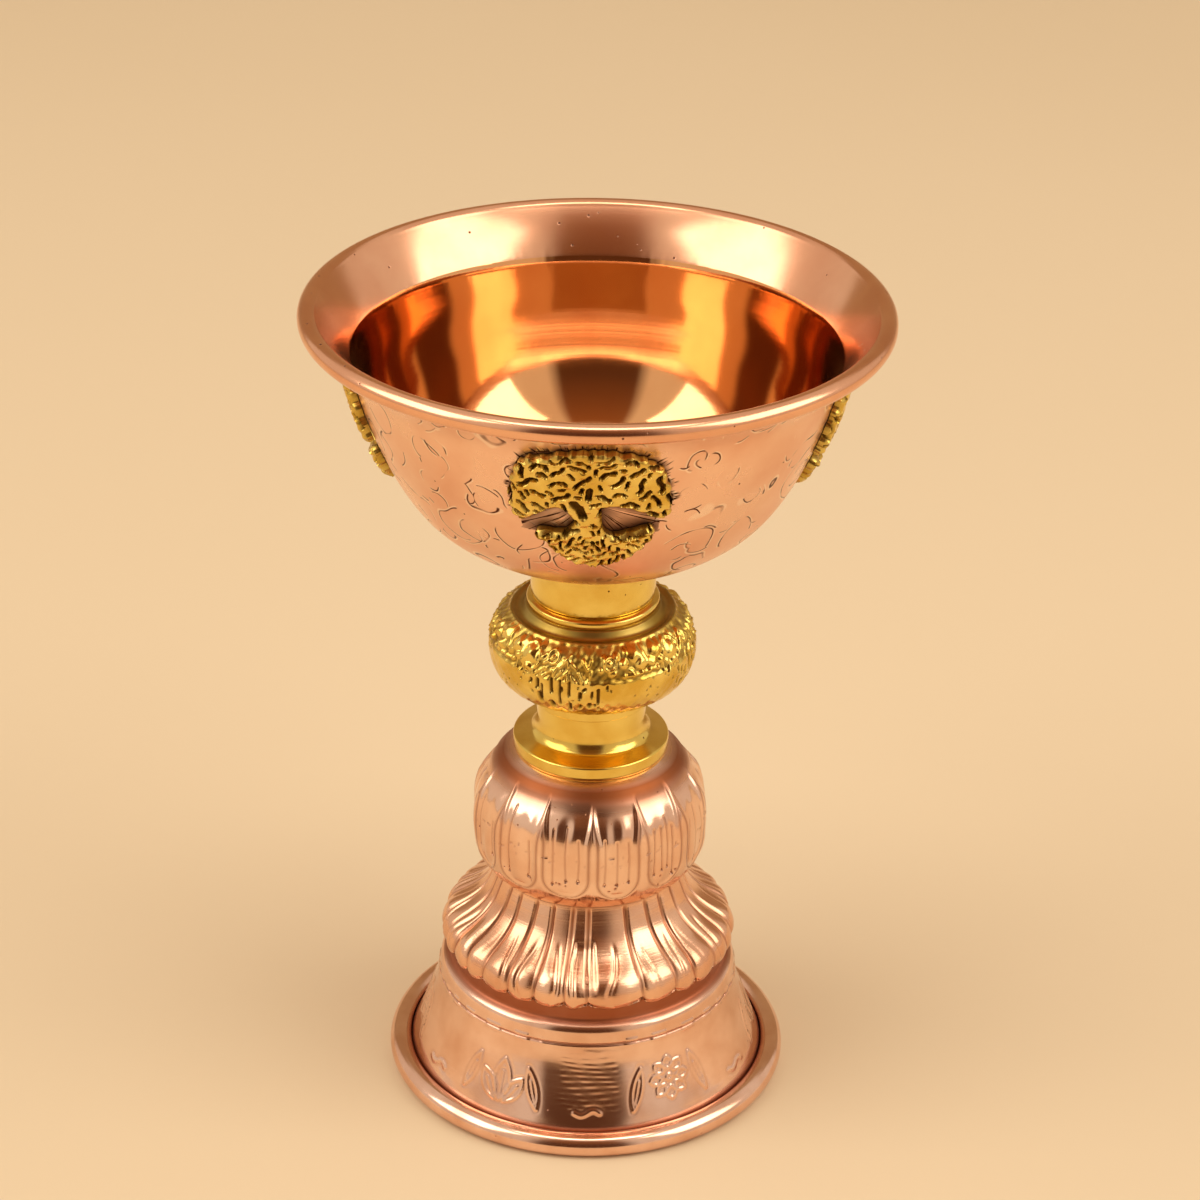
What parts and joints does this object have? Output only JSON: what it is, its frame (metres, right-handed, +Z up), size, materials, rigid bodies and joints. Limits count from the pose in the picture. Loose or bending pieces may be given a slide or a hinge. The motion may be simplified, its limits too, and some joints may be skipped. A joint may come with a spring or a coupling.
{
  "type": "stemmed ritual bowl",
  "caption": "Copper bowl with a rolled rim and soldered brass trees, on a brass stem with a cast knop and a petalled, fluted and flared copper base.",
  "frame": {"origin": "centre of the plane that the foot rests on", "axes": "+Z up along the stem to the bowl's mouth, -Y towards the front tree"},
  "size_m": [0.0998, 0.0998, 0.1484],
  "materials": {
    "copper_bowl": "polished copper inside, satin chased copper outside",
    "copper_base": "polished chased copper, worn and pitted",
    "brass_turned": "polished turned brass",
    "brass_cast": "cast brass, bright on top and dark in its recesses",
    "edge_wire": "plain drawn wire, hidden in the rolled edges",
    "steel_fixings": "plain zinc-grey steel"
  },
  "bodies": {
    "root": {"bowl": "copper_bowl", "foot": "copper_base", "skirt": "copper_base", "dome": "copper_base", "lower_collar": "brass_turned", "neck_ring": "brass_turned", "fillet_ring": "brass_turned", "upper_collar": "brass_turned", "knop": "brass_cast", "tree_front": "brass_cast", "tree_right": "brass_cast", "tree_back": "brass_cast", "tree_left": "brass_cast", "foot_wire": "edge_wire", "rim_wire": "edge_wire", "tie_rod": "steel_fixings", "washer": "steel_fixings", "nut": "steel_fixings"}
  },
  "joints": []
}
